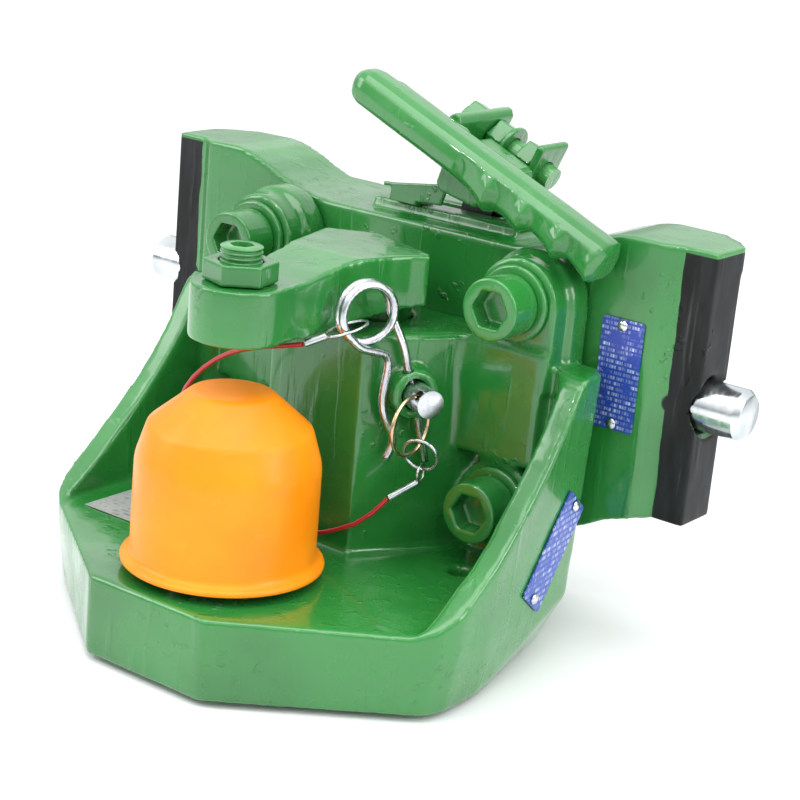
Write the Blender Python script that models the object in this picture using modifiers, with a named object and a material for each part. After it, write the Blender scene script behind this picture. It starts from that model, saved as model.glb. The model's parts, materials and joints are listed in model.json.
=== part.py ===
"""Height-adjustable slide carriage with a bolted-on 80 mm ball bracket, a swivelling
hold-down and a lever-operated pair of spring-loaded locking pins.

Frame: X across the carriage, +Y towards the tractor, +Z up, metres. The origin lies
under the middle of the whole object, on the surface that it stands on.
Every length below is in millimetres and is turned to metres by MM.
"""
import bpy
import bmesh
import math
from mathutils import Matrix, Vector

MM = 0.001
GAP = 0.3                      # clearance between touching pieces

# ---- driving dimensions --------------------------------------------------------
FRONT = 62.35                  # y of the guide strips' front faces
GUIDE_HALF = 165.0             # half the width over the guides (330 mm carriage)
GUIDE_T = 27.0                 # thickness of a guide strip
GUIDE_TOP = 207.0
GUIDE_BOTTOM = 74.0
EAR_HALF = 148.0               # where a guide strip leaves the carriage body
EAR_DEPTH = 44.0
BODY_REAR = 61.0               # rear of the mechanism housing, behind FRONT
BODY_FACE = -5.0               # the carriage's front wall stands proud of the guides

PIN_D = 25.0                   # lateral locking pins
PIN_Z = 132.0
PIN_OUT = 20.0                 # how far a locked pin stands out of its guide
LEVER_SWING = math.radians(30.5)
ROCKER_R = 40.0

BALL_D = 80.0
BALL_Y = -137.0                # ball axis, in front of FRONT
BALL_Z = 84.0
FLOOR_T = 40.0
NOSE_Y = -189.0
NOSE_HALF = 35.0
FLARE = 0.05                   # how far a bracket wall leans out per millimetre of height
HULL_EDGE = 30.0               # below this height the bracket's sides draw in
BRACKET_HALF = 123.5
REAR_HALF = 116.5
SCREW_X = 80.0
SCREW_Z = (170.0, 70.0)
LUG_FACE = -32.0

POST_Y = -35.0                 # vertical pivot of the hold-down arm
POST_D = 38.0
ARM_TOP = 185.0
ARM_SEAT = 178.5
ARM_UNDER = 152.0
COLUMN_TOP = 149.5
COLUMN_FRONT = -78.0
COLUMN_HALF = 28.0

SECURE_ANGLE = math.radians(-28.0)   # heading of the securing pin, from +X towards -Y
SECURE_Z = 122.4
SECURE_D = 13.6
BOSS_D = 24.8

# ---- materials -----------------------------------------------------------------
PAINT = ("green_paint", (0.022, 0.235, 0.055), 0.28, 0.0)
ZINC = ("zinc_plate", (0.72, 0.74, 0.76), 0.25, 1.0)
YELLOW_ZINC = ("yellow_zinc", (0.78, 0.60, 0.36), 0.28, 1.0)
STEEL = ("machined_steel", (0.46, 0.47, 0.48), 0.35, 1.0)
DARK_STEEL = ("dark_steel", (0.09, 0.09, 0.10), 0.45, 1.0)
CAP_PLASTIC = ("orange_plastic", (0.95, 0.40, 0.02), 0.35, 0.0)
CABLE_SHEATH = ("red_sheath", (0.62, 0.03, 0.05), 0.4, 0.0)
PLATE_BLUE = ("blue_plate", (0.03, 0.07, 0.42), 0.35, 0.6)
LABEL_SILVER = ("silver_label", (0.66, 0.67, 0.68), 0.35, 0.8)

parts = None
cutters = None


# ---- general helpers -----------------------------------------------------------
def start_scene():
    global parts, cutters
    for item in list(bpy.data.objects):
        bpy.data.objects.remove(item, do_unlink=True)
    parts = bpy.data.collections.new("ball_hitch_carriage")
    cutters = bpy.data.collections.new("cutters")
    bpy.context.scene.collection.children.link(parts)
    bpy.context.scene.collection.children.link(cutters)


def at(x, y, z):
    """A point given in millimetres, with y counted from the guides' front faces."""
    return Vector((x, FRONT + y, z)) * MM


def material(spec):
    name, colour, roughness, metallic = spec
    made = bpy.data.materials.get(name)
    if made is None:
        made = bpy.data.materials.new(name)
        made.use_nodes = True
        shader = made.node_tree.nodes["Principled BSDF"]
        shader.inputs["Base Color"].default_value = (*colour, 1.0)
        shader.inputs["Roughness"].default_value = roughness
        shader.inputs["Metallic"].default_value = metallic
        made.diffuse_color = (*colour, 1.0)
    return made


def new_object(name, mesh, home=None):
    obj = bpy.data.objects.new(name, mesh)
    (home or cutters).objects.link(obj)
    if home is None:
        obj.hide_render = True
        obj.display_type = "WIRE"
    return obj


def mesh_object(name, build, home=None):
    """Run build(bm) on an empty bmesh and keep the outcome as an object."""
    bm = bmesh.new()
    build(bm)
    bmesh.ops.recalc_face_normals(bm, faces=bm.faces)
    mesh = bpy.data.meshes.new(name)
    bm.to_mesh(mesh)
    bm.free()
    return new_object(name, mesh, home)


def block(name, low, high, home=None):
    """A box between two corners in millimetres."""
    low, high = at(*low), at(*high)
    size = high - low

    def build(bm):
        bmesh.ops.create_cube(bm, size=1.0)
        bmesh.ops.scale(bm, vec=size, verts=bm.verts)
    obj = mesh_object(name, build, home)
    obj.location = (low + high) / 2
    return obj


def rod(name, start, end, diameter, home=None, sides=32, end_diameter=None, turn=0.0):
    """A cylinder, cone or prism from start to end, both in millimetres."""
    start, end = at(*start), at(*end)
    axis = end - start
    last = diameter if end_diameter is None else end_diameter

    def build(bm):
        bmesh.ops.create_cone(bm, cap_ends=True, segments=sides, radius1=diameter / 2 * MM,
                              radius2=last / 2 * MM, depth=axis.length,
                              matrix=Matrix.Rotation(turn, 4, "Z"))
    obj = mesh_object(name, build, home)
    obj.rotation_mode = "QUATERNION"
    obj.rotation_quaternion = axis.to_track_quat("Z", "Y")
    obj.location = (start + end) / 2
    return obj


def turned(name, profile, base, home=None, steps=48, heading=None):
    """A profile of (radius, height) pairs, closed or touching the axis, spun about Z."""
    mesh = bpy.data.meshes.new(name)
    points = [(r * MM, 0.0, h * MM) for r, h in profile]
    edges = [(i, i + 1) for i in range(len(points) - 1)]
    if profile[0][0] > 0 and profile[-1][0] > 0:
        edges.append((len(points) - 1, 0))
    mesh.from_pydata(points, edges, [])
    obj = new_object(name, mesh, home)
    screw = obj.modifiers.new("turn", "SCREW")
    screw.steps = steps
    screw.render_steps = steps
    screw.use_merge_vertices = True
    screw.merge_threshold = 0.00001
    screw.use_smooth_shade = True
    obj.location = at(*base)
    if heading is not None:
        obj.rotation_mode = "QUATERNION"
        obj.rotation_quaternion = Vector(heading).to_track_quat("Z", "Y")
    return obj


def prism(name, outline, span, plane="XZ", home=None):
    """An outline in millimetres pushed through a span along the plane's third axis."""
    low, high = span

    def build(bm):
        loops = []
        for depth in (low, high):
            if plane == "XZ":
                loops.append([bm.verts.new(at(a, depth, b)) for a, b in outline])
            elif plane == "YZ":
                loops.append([bm.verts.new(at(depth, a, b)) for a, b in outline])
            else:
                loops.append([bm.verts.new(at(a, b, depth)) for a, b in outline])
        bm.faces.new(loops[0])
        bm.faces.new(list(reversed(loops[1])))
        count = len(outline)
        for i in range(count):
            j = (i + 1) % count
            bm.faces.new((loops[0][i], loops[0][j], loops[1][j], loops[1][i]))
    return mesh_object(name, build, home)


def loft(name, sections, home=None):
    """A solid through outlines of equal length at rising heights: (height, outline)."""
    def build(bm):
        loops = [[bm.verts.new(at(a, b, z)) for a, b in outline] for z, outline in sections]
        bm.faces.new(loops[0])
        bm.faces.new(list(reversed(loops[-1])))
        for low, high in zip(loops, loops[1:]):
            for i in range(len(low)):
                j = (i + 1) % len(low)
                bm.faces.new((low[i], low[j], high[j], high[i]))
    return mesh_object(name, build, home)


def arc(centre, radius, start, end, steps):
    """Points along an arc, angles in degrees."""
    turn = [math.radians(start + (end - start) * i / steps) for i in range(steps + 1)]
    return [(centre[0] + radius * math.cos(t), centre[1] + radius * math.sin(t)) for t in turn]


def mirrored(points):
    """The left half of an outline, in the order that closes it."""
    return [(-a, b) for a, b in reversed(points)]


def settle():
    bpy.context.view_layer.update()


def cut(target, *tools, operation="DIFFERENCE"):
    """Boolean each tool into target and apply it straight away."""
    for tool in tools:
        change = target.modifiers.new("cut", "BOOLEAN")
        change.operation = operation
        change.solver = "EXACT"
        change.object = tool
        settle()
        made = bpy.data.meshes.new_from_object(
            target.evaluated_get(bpy.context.evaluated_depsgraph_get()))
        target.modifiers.clear()
        target.data = made
        bpy.data.objects.remove(tool, do_unlink=True)
    return target


def join(target, *others):
    return cut(target, *others, operation="UNION")


def finish(obj, spec, name=None, angle=35.0):
    """Name a piece, give it its material and shade it smooth up to an angle."""
    if name:
        obj.name = name
        obj.data.name = name
    obj.data.materials.clear()
    obj.data.materials.append(material(spec))
    obj.data.shade_smooth()
    obj.data.set_sharp_from_angle(angle=math.radians(angle))
    return obj


def wire(name, points, diameter, spec, resolution=2):
    """A round wire along a smooth curve through points in millimetres."""
    curve = bpy.data.curves.new(name, "CURVE")
    curve.dimensions = "3D"
    curve.bevel_depth = diameter / 2 * MM
    curve.bevel_resolution = resolution
    curve.use_fill_caps = True
    spline = curve.splines.new("POLY")
    spline.points.add(len(points) - 1)
    for knot, point in zip(spline.points, points):
        knot.co = (*at(*point), 1.0)
    obj = new_object(name, curve, parts)
    obj.data.materials.append(material(spec))
    return obj


def smooth_path(points, step):
    """Points about step apart on a Catmull-Rom curve through the given points."""
    knots = [Vector(p) for p in points]
    knots = [2 * knots[0] - knots[1]] + knots + [2 * knots[-1] - knots[-2]]
    path = []
    for i in range(1, len(knots) - 2):
        a, b, c, d = knots[i - 1:i + 3]
        pieces = max(1, round((c - b).length / step))
        for k in range(pieces):
            t = k / pieces
            path.append(0.5 * (2 * b + (c - a) * t + (2 * a - 5 * b + 4 * c - d) * t * t
                               + (3 * b - a - 3 * c + d) * t * t * t))
    path.append(knots[-2])
    return path


def pivot(name, point):
    """An empty on a joint's axis."""
    empty = bpy.data.objects.new(name, None)
    empty.location = at(*point)
    parts.objects.link(empty)
    return empty


def hang(empty, *pieces):
    settle()
    for piece in pieces:
        piece.parent = empty
        piece.matrix_parent_inverse = empty.matrix_world.inverted()


# ---- carriage ------------------------------------------------------------------
CAVITY_HALF = 62.0
CAVITY_Z = (81.0, 183.0)
COVER_HALF = 72.0
COVER_Z = (78.0, 188.0)
COVER_T = 6.0
PEDESTAL_TOP = 196.0
COVER_SCREW_X = 67.0
COVER_SCREW_Z = (83.0, 183.0)
GUARD_SCREW = (-14.0, 11.0)


def carriage_outline():
    """Front view of the carriage without its guide strips, right half then left half."""
    right = [(0, 8), (66, 8), (73, 14), (77, 42), (84, 54), (100, 58), (113, 61), (126, 68),
             (140, 72.5), (EAR_HALF, GUIDE_BOTTOM), (EAR_HALF, GUIDE_TOP), (122, 207.5),
             (112, 206), (100, 202), (90, 197.5), (80, 194), (70, 191.5), (58, 190), (0, 190)]
    return right + mirrored(right[1:-1])


def carriage_body():
    body = prism("carriage_body", carriage_outline(), (BODY_FACE, EAR_DEPTH), home=parts)
    for side in (-1, 1):
        inner, outer = sorted((side * (EAR_HALF - 4), side * GUIDE_HALF))
        join(body, block("strip", (inner, 0, GUIDE_BOTTOM), (outer, GUIDE_T, GUIDE_TOP)))
        fillet = [(side * a, b) for a, b in ((EAR_HALF - 3, GUIDE_T - 3), (GUIDE_HALF, GUIDE_T - 3),
                                             (GUIDE_HALF, GUIDE_T), (158, 36),
                                             (EAR_HALF - 3, EAR_DEPTH))]
        join(body, prism("fillet", fillet, (194, GUIDE_TOP), "XY"))
        step = [(side * (EAR_HALF + 1), BODY_FACE - 1), (side * (EAR_HALF - 9), BODY_FACE - 1),
                (side * (EAR_HALF - 9), BODY_FACE), (side * (EAR_HALF - 1), 0),
                (side * (EAR_HALF + 1), 0)]
        cut(body, prism("step", step, (60, 220), "XY"))
    right = [(68, 14), (73, 20), (75, 62), (104, 80), (108, 86), (108, 186), (104, 190)]
    housing = right + mirrored(right)
    join(body, prism("housing", housing, (EAR_DEPTH - 6, BODY_REAR)),
         block("pedestal", (-36, 6, 184), (52, 44, PEDESTAL_TOP)))
    cut(body,
        block("cavity", (-CAVITY_HALF, 4, CAVITY_Z[0]), (CAVITY_HALF, BODY_REAR + 1, CAVITY_Z[1])),
        block("recess", (-COVER_HALF - GAP, BODY_REAR - COVER_T, COVER_Z[0] - GAP),
              (COVER_HALF + GAP, BODY_REAR + 1, COVER_Z[1] + GAP)),
        block("lever_slot", (-33, 20.4, CAVITY_Z[1] - 2), (33, 29.6, PEDESTAL_TOP + 1)))
    middle = GUIDE_T / 2
    for side in (-1, 1):
        cut(body, rod("bore", (side * (CAVITY_HALF - 2), middle, PIN_Z),
                      (side * (GUIDE_HALF + 2), middle, PIN_Z), PIN_D + 2 * GAP),
            rod("mouth", (side * (GUIDE_HALF - 4), middle, PIN_Z),
                (side * (GUIDE_HALF + 1), middle, PIN_Z), 26, end_diameter=34))
        for height in SCREW_Z:
            cut(body, rod("thread", (side * SCREW_X, BODY_FACE - 1, height),
                          (side * SCREW_X, 36, height), 20.6, sides=24))
        for height in COVER_SCREW_Z:
            cut(body, rod("thread", (side * COVER_SCREW_X, 44, height),
                          (side * COVER_SCREW_X, BODY_REAR, height), 6.6, sides=16))
    cut(body, rod("shaft_seat", (0, -2, PIN_Z), (0, 6, PIN_Z), 12.6, sides=24),
        rod("guard_hole", (*GUARD_SCREW, PEDESTAL_TOP - 10), (*GUARD_SCREW, PEDESTAL_TOP + 1), 6.6,
            sides=16))
    return finish(body, PAINT)


def rear_cover():
    low = (-COVER_HALF, BODY_REAR - COVER_T + GAP, COVER_Z[0])
    cover = block("rear_cover", low, (COVER_HALF, BODY_REAR, COVER_Z[1]), parts)
    cut(cover, rod("hole", (0, 50, PIN_Z), (0, 65, PIN_Z), 12.6, sides=24))
    for side in (-1, 1):
        for height in COVER_SCREW_Z:
            centre = side * COVER_SCREW_X
            cut(cover, rod("hole", (centre, 50, height), (centre, 65, height), 6.6, sides=16))
    finish(cover, PAINT)
    number = 0
    for side in (-1, 1):
        for height in COVER_SCREW_Z:
            number += 1
            screw = rod(f"cover_screw_{number}", (side * COVER_SCREW_X, 46, height),
                        (side * COVER_SCREW_X, BODY_REAR + 1, height), 6, parts, 16)
            join(screw, rod("head", (side * COVER_SCREW_X, BODY_REAR + GAP, height),
                            (side * COVER_SCREW_X, BODY_REAR + 3.3, height), 11, sides=16,
                            end_diameter=8))
            finish(screw, ZINC)


# ---- locking mechanism ---------------------------------------------------------
def tilt(outline, angle):
    """Turn an outline of (across, up) pairs about the rocker's pivot; + leans right."""
    c, s = math.cos(angle), math.sin(angle)
    return [(a * c + b * s, PIN_Z - a * s + b * c) for a, b in outline]


def release_lever():
    """The flat lever that is also the rocker for both pins."""
    lean = LEVER_SWING / 2
    right = (arc((0, -ROCKER_R), 9, -90, 0, 5) + [(9, -12)] + arc((0, 0), 15, -45, 45, 6)
             + [(9, 12)] + arc((0, LEVER_TOP), 9, 0, 90, 5))
    outline = right + mirrored(right[1:-1])
    lever = prism("release_lever", tilt(outline, lean), (21, 29), home=parts)
    holes = [((0, 0), 12.6), ((0, ROCKER_R), 8.6), ((0, -ROCKER_R), 8.6),
             ((0, LEVER_TOP), 8.6)]
    for centre, bore in holes:
        (x, z), = tilt([centre], lean)
        cut(lever, rod("hole", (x, 18, z), (x, 32, z), bore, sides=24))
    finish(lever, DARK_STEEL)
    pieces = [lever]
    for name, reach in (("drive_pin_right", ROCKER_R), ("drive_pin_left", -ROCKER_R)):
        (x, z), = tilt([(0, reach)], lean)
        pieces.append(finish(rod(name, (x, 9, z), (x, 28.7, z), 8, parts, 20), STEEL))
    return pieces


def rocker_shaft():
    shaft = rod("rocker_shaft", (0, -1.5, PIN_Z), (0, BODY_REAR + 1.5, PIN_Z), 12, parts, 24)
    return finish(shaft, STEEL)


def swapped(outline, side):
    """The left pull bar is the right one turned half round about the rocker's pivot."""
    if side > 0:
        return outline
    return [(-a, 2 * PIN_Z - b) for a, b in outline]


def locking_set(side):
    """Pin, draw bar, return spring and spring seat of one side."""
    label = "right" if side > 0 else "left"
    middle = GUIDE_T / 2
    profile = [(0, 0), (4, 0), (4, 20), (7, 20), (7, 82), (12.5, 82), (12.5, 153.5), (11, 155),
               (0, 155)]
    pin = turned(f"locking_pin_{label}", list(reversed(profile)),
                 (side * (GUIDE_HALF + PIN_OUT - 155), middle, PIN_Z), parts, 32, (side, 0, 0))
    finish(pin, ZINC)
    outline = swapped([(34, 124), (48, 124), (48, 181), (2, 181), (2, 161), (34, 161)],
                      side)
    bar = prism(f"pull_bar_{label}", outline, (10, 16), home=parts)
    foot = swapped([(34, 124), (48, 124), (48, 140), (34, 140)], side)
    join(bar, prism("foot", foot, (5.5, 20)))
    slot = swapped([(5.9, 165.8), (15.1, 165.8), (15.1, 177), (5.9, 177)], side)
    cut(bar, prism("slot", slot, (8, 18)),
        rod("hole", (side * 30, middle, PIN_Z), (side * 52, middle, PIN_Z), 8.6, sides=24))
    finish(bar, DARK_STEEL)
    seat = rod(f"spring_seat_{label}", (side * 62.5, middle, PIN_Z),
               (side * 66, middle, PIN_Z), PIN_D - 0.2, parts, 32)
    cut(seat, rod("hole", (side * 60, middle, PIN_Z), (side * 70, middle, PIN_Z), 15, sides=24))
    finish(seat, STEEL)
    coils, start, end = 6, 67.6, 110.3
    points = []
    for step in range(coils * 10 + 1):
        turn = 2 * math.pi * step / 10
        along = start + (end - start) * step / (coils * 10)
        points.append((side * along, middle + 9.6 * math.cos(turn),
                       PIN_Z + 9.6 * math.sin(turn)))
    spring = wire(f"return_spring_{label}", points, 2.4, STEEL, 1)
    return pin, bar, seat, spring


# ---- operating handle ----------------------------------------------------------
GRIP_LEFT = (-24.0, -19.0, 254.0)
GRIP_RIGHT = (116.8, -19.0, 195.9)
LEVER_TOP = 82.0               # grip's cross pin, up the lever from the rocker's pivot
STUD_START = (-12.0, 47.0, 237.5)
STUD_LENGTH = 61.0


def grip_section(s):
    """Half width, top, bottom and front swell of the grip at s from its left end."""
    top = 9.5 + 1.0 * min(1.0, s / 100.0)
    bottom, swell = -9.5, 1.0
    if s > 66.0:
        phase = ((s - 66.0) % 22.0) / 22.0
        notch = math.sin(min(phase / 0.25, (1.0 - phase) / 0.75) * math.pi / 2)
        depth = 15.0 - 2.6 * min(1.0, max(0.0, (s - 98.0) / 14.0))
        bottom = -depth + 4.2 * notch
        swell = 1.15 - 0.33 * notch
    return 11.0 + 1.5 * min(1.0, s / 120.0), top, bottom, swell


def release_handle():
    left, right = at(*GRIP_LEFT), at(*GRIP_RIGHT)
    along = (right - left).normalized()
    across = Vector((0, 1, 0))
    up = along.cross(across).normalized()
    length = (right - left).length / MM
    stations = [-8.5, -7, -4, 0] + [length * i / 32 for i in range(4, 33, 4)]
    stations += [66 + 5.5 * i for i in range(-1, 16)] + [length + 2, length + 3]
    stations = sorted(set(stations))

    def build(bm):
        rings = []
        for s in stations:
            width, top, bottom, swell = grip_section(max(0.0, s))
            shrink = 1.0
            if s < 0:
                shrink = math.sqrt(max(0.05, 1.0 - (s / 9.0) ** 2))
            if s > length:
                shrink = 1.0 - 0.13 * (s - length)
            ring = []
            for k in range(14):
                t = 2 * math.pi * k / 14
                y = width * shrink * math.copysign(abs(math.cos(t)) ** 0.75, math.cos(t))
                reach = top if math.sin(t) > 0 else -bottom
                if y < 0 and math.sin(t) < 0.3:
                    y *= swell
                z = reach * shrink * math.copysign(abs(math.sin(t)) ** 0.75, math.sin(t))
                ring.append(bm.verts.new(left + along * s * MM + across * y * MM + up * z * MM))
            rings.append(ring)
        for a, b in zip(rings, rings[1:]):
            for k in range(14):
                j = (k + 1) % 14
                bm.faces.new((a[k], a[j], b[j], b[k]))
        bm.faces.new(rings[0])
        bm.faces.new(list(reversed(rings[-1])))
    handle = mesh_object("release_handle", build, parts)
    rib = tilt_to_grip([(-14, -3), (-14, -11), (62, -11), (62, -3)])
    lean = LEVER_SWING / 2
    neck = tilt([(-13, 90), (17, 90), (18, 92), (9, 103), (-6, 111), (-13, 111)], lean)
    fork = tilt([(-16, 72), (-14, 71), (15, 71), (17, 72), (17, 95), (-16, 95)], lean)
    cheek = tilt([(-11, 80), (-8, 77), (14, 78), (18, 82), (16, 97), (-11, 97)], lean)
    above = tilt_to_grip([(-60, -6.3), (120, -6.3), (120, 40), (-60, 40)])
    lug = tilt_to_grip([(3.6, -22), (6, -24), (9, -24), (11.5, -22), (11.5, 0), (9, 3), (6, 3),
                        (3.6, 0)])
    join(handle, prism("neck", neck, (-9, 33.4)), prism("fork", fork, (18.8, 33.4)),
         prism("cheek", cheek, (-6.9, -0.5)))
    cut(handle, prism("above", above, (-1.6, 40)))
    join(handle, prism("rib", rib, (-13.3, 13.7)), prism("lug", lug, (10, 58)))
    join(handle, rod("return", grip_point(-25, 3.3, -5), grip_point(15, 2.4, -5), 14, sides=18))
    join(handle, rod("bend", grip_point(-27, -19, 0.4), grip_point(-24, 4.2, -4.6), 13.2, sides=18))
    room = [(-9.4, 60), (9.4, 60), (9.4, LEVER_TOP + 9.5), (-9.4, LEVER_TOP + 9.5)]
    (x, z), = tilt([(0, LEVER_TOP)], lean)
    cut(handle, prism("socket", tilt(room, lean), (20.7, 29.3)),
        rod("hole", (x, 10, z), (x, 40, z), 8.6, sides=24),
        stud_rod("hole", -1, 30, 12.6))
    finish(handle, PAINT)
    cross = finish(rod("grip_pin", (x, 17.5, z), (x, 35.5, z), 8, parts, 20), STEEL)
    return handle, cross


def grip_frame():
    """Origin and axes of the handle's own slope, in millimetres."""
    dx, dz = GRIP_RIGHT[0] - GRIP_LEFT[0], GRIP_RIGHT[2] - GRIP_LEFT[2]
    length = math.hypot(dx, dz)
    return (dx / length, dz / length)


def tilt_to_grip(outline):
    """Points counted along the grip from x = 0 and square to it, as (x, z)."""
    c, s = grip_frame()
    t = -GRIP_LEFT[0] / c
    x0, z0 = GRIP_LEFT[0] + t * c, GRIP_LEFT[2] + t * s
    return [(x0 + a * c - b * s, z0 + a * s + b * c) for a, b in outline]


def grip_point(along, y, up):
    (x, z), = tilt_to_grip([(along, up)])
    return (x, y, z)


def along_stud(t):
    c, s = grip_frame()
    x, y, z = STUD_START
    return (x + t * c, y, z + t * s)


def stud_rod(name, start, end, diameter, home=None, sides=24, turn=0.0):
    return rod(name, along_stud(start), along_stud(end), diameter, home, sides, turn=turn)


def stud_group():
    """Threaded stud behind the grip with its nuts, washer and end plate."""
    pieces = [finish(stud_rod("link_stud", 0, STUD_LENGTH, 12, parts, 24), PAINT)]
    hexagon = 19 / math.cos(math.radians(30))
    for number, (start, end) in enumerate(((2.2, 11.6), (20.7, 30.0), (40.5, 49.8)), 1):
        nut = stud_rod(f"stud_nut_{number}", start, end, hexagon, parts, 6, math.radians(12))
        cut(nut, stud_rod("hole", start - 2, end + 2, 12.6))
        pieces.append(finish(nut, PAINT))
    washer = stud_rod("stud_washer", 30.4, 32.9, 24, parts, 32)
    cut(washer, stud_rod("hole", 28, 35, 12.6))
    pieces.append(finish(washer, PAINT))
    plate = block("link_plate", (-2.2, -13, -16), (2.2, 13, 16), parts)
    plate.location = at(*along_stud(53.0))
    c, s = grip_frame()
    plate.rotation_euler = (0, -math.atan2(s, c), 0)
    settle()
    bevel = plate.modifiers.new("corners", "BEVEL")
    bevel.width = 4 * MM
    bevel.segments = 3
    cut(plate, stud_rod("hole", 48, 58, 12.6))
    pieces.append(finish(plate, PAINT))
    return pieces


def slot_guard():
    """Folded sheet in front of the lever slot, its flap rising to the right."""
    z = PEDESTAL_TOP + GAP
    flap = [(-23, z), (-22, 203.2), (-27, 203), (-27, 205), (-21, 205.4), (12.4, 210.3),
            (9, 199), (-6, z + 2), (-6, z)]
    guard = prism("slot_guard", flap, (1.2, 3.4), home=parts)
    join(guard, block("foot", (-22, 2, z), (-6, 17, z + 2.2)))
    cut(guard, rod("hole", (*GUARD_SCREW, z - 1), (*GUARD_SCREW, z + 4), 6.6, sides=16))
    finish(guard, PAINT)
    screw = rod("guard_screw", (*GUARD_SCREW, z - 8), (*GUARD_SCREW, z + 3.2), 6, parts, 16)
    join(screw, rod("head", (*GUARD_SCREW, z + 2.8), (*GUARD_SCREW, z + 6.2), 11, sides=16,
                    end_diameter=9))
    finish(screw, ZINC)


# ---- ball bracket --------------------------------------------------------------
BACK_FACE = -22.0
UPPER_FACE = -34.0
BRACKET_REAR = BODY_FACE - GAP
SPIGOT_D = 40.0


def bracket_plan(height):
    """Outer outline of the bracket seen from above, at a height."""
    out = FLARE * (height - HULL_EDGE)
    side, rear = BRACKET_HALF + out, REAR_HALF + out
    if height < HULL_EDGE:
        side, rear = BRACKET_HALF - 5, REAR_HALF - 15
    right = [(0, NOSE_Y), (NOSE_HALF, NOSE_Y), (side - 11, -133), (side - 4, -127),
             (side, -117), (side, -92), (rear, -16), (rear - 11, BRACKET_REAR),
             (0, BRACKET_REAR)]
    return right + mirrored(right[1:-1])


def room_plan(height):
    """Inside of the bracket's walls seen from above, at a height."""
    out = FLARE * (height - HULL_EDGE)
    front, rear = BRACKET_HALF - 13 + out, REAR_HALF - 11 + out
    right = [(front, -200), (front, -92), (rear, BACK_FACE - 14), (rear - 12, BACK_FACE)]
    return right + mirrored(right)


def ball_bracket():
    body = loft("ball_bracket", [(z, bracket_plan(z)) for z in (0, HULL_EDGE, 230)], parts)
    sweep = ([(NOSE_Y - 5, -5), (NOSE_Y - 5, FLOOR_T), (-136, FLOOR_T), (-129, 42.5), (-118, 49.5),
             (-105, 59), (-93, 69), (-80, 81), (-68, 93.5), (-57, 106.5), (-48, 119),
             (-41, 131), (-36, 139), (-30, 143), (0, 143), (0, -5)])
    cut(body, prism("sweep", sweep, (-140, 140), "YZ"), operation="INTERSECT")
    cut(body, loft("room", [(z, room_plan(z)) for z in (FLOOR_T, 240)]))
    for side in (-1, 1):
        shoulder = [(side * a, b) for a, b in ((122, 108), (103, 147), (140, 147), (140, 108))]
        cut(body, prism("shoulder", shoulder, (-9, 0)))
    c60 = math.tan(math.radians(60))
    wide = COLUMN_HALF + (BACK_FACE + 2 - COLUMN_FRONT) / c60
    column = [(-COLUMN_HALF, COLUMN_FRONT), (COLUMN_HALF, COLUMN_FRONT), (wide, BACK_FACE + 2),
              (-wide, BACK_FACE + 2)]
    join(body, prism("column", column, (FLOOR_T - 5, COLUMN_TOP), "XY"),
         block("slab", (-100, UPPER_FACE, 92), (100, BRACKET_REAR, COLUMN_TOP)))
    top, low = SCREW_Z
    for sign in (-1, 1):
        x = sign * SCREW_X
        join(body, rod("step", (x, -20, top), (x, BRACKET_REAR, top), 50),
             rod("lug", (x, LUG_FACE, top), (x, BRACKET_REAR - 2, top), 44),
             block("web", (x - 25, -20, 130), (x + 25, BRACKET_REAR, top)),
             block("web", (x - 22, LUG_FACE, 130), (x + 22, -10, top)),
             rod("boss", (x, LUG_FACE, low), (x, BACK_FACE + 2, low), 44))
    join(body, secure_rod("boss", 40, 55.8, BOSS_D))
    for sign in (-1, 1):
        for height in SCREW_Z:
            x = sign * SCREW_X
            cut(body, rod("hole", (x, -60, height), (x, 10, height), 20.8, sides=24))
        cut(body, rod("drain", (sign * 78, -52, -1), (sign * 78, -52, FLOOR_T + 1), 12,
                      sides=20))
    cut(body, rod("post_bore", (0, POST_Y, 46), (0, POST_Y, 200), POST_D + 2 * GAP, sides=40),
        rod("post_hole", (0, POST_Y, 10), (0, POST_Y, 50), 12.8, sides=24),
        rod("post_recess", (0, POST_Y, -1), (0, POST_Y, 16), 50, sides=40),
        rod("ball_hole", (0, BALL_Y, -1), (0, BALL_Y, 60), SPIGOT_D + 2 * GAP, sides=40),
        rod("ball_recess", (0, BALL_Y, -1), (0, BALL_Y, 14), 70, sides=40),
        secure_rod("pin_hole", POST_D / 2 - 4, 60, SECURE_D + 2 * GAP),
        clip_rod("clip_hole", -22, 22, 5.0))
    return finish(body, PAINT)


def secure_point(t):
    """A point on the securing pin's axis, t millimetres out from the post's axis."""
    return (t * math.cos(SECURE_ANGLE), POST_Y + t * math.sin(SECURE_ANGLE), SECURE_Z)


def secure_rod(name, start, end, diameter, home=None, sides=32):
    return rod(name, secure_point(start), secure_point(end), diameter, home, sides)


def bracket_screws():
    number = 0
    for height in SCREW_Z:
        for sign in (-1, 1):
            number += 1
            x = sign * SCREW_X
            under = LUG_FACE - 3.0 - 2 * GAP
            washer = rod(f"bracket_washer_{number}", (x, LUG_FACE - 3.0 - GAP, height),
                         (x, LUG_FACE - GAP, height), 37, parts)
            cut(washer, rod("hole", (x, -50, height), (x, 0, height), 20.8, sides=24))
            finish(washer, PAINT)
            screw = rod(f"bracket_screw_{number}", (x, under - 19, height),
                        (x, under, height), 30, parts)
            join(screw, rod("shank", (x, under - 4, height), (x, 33, height), 20, sides=24))
            cut(screw, rod("socket", (x, under - 20, height), (x, under - 9, height),
                           17 / math.cos(math.radians(30)), sides=6, turn=math.radians(30)))
            finish(screw, PAINT)


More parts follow.
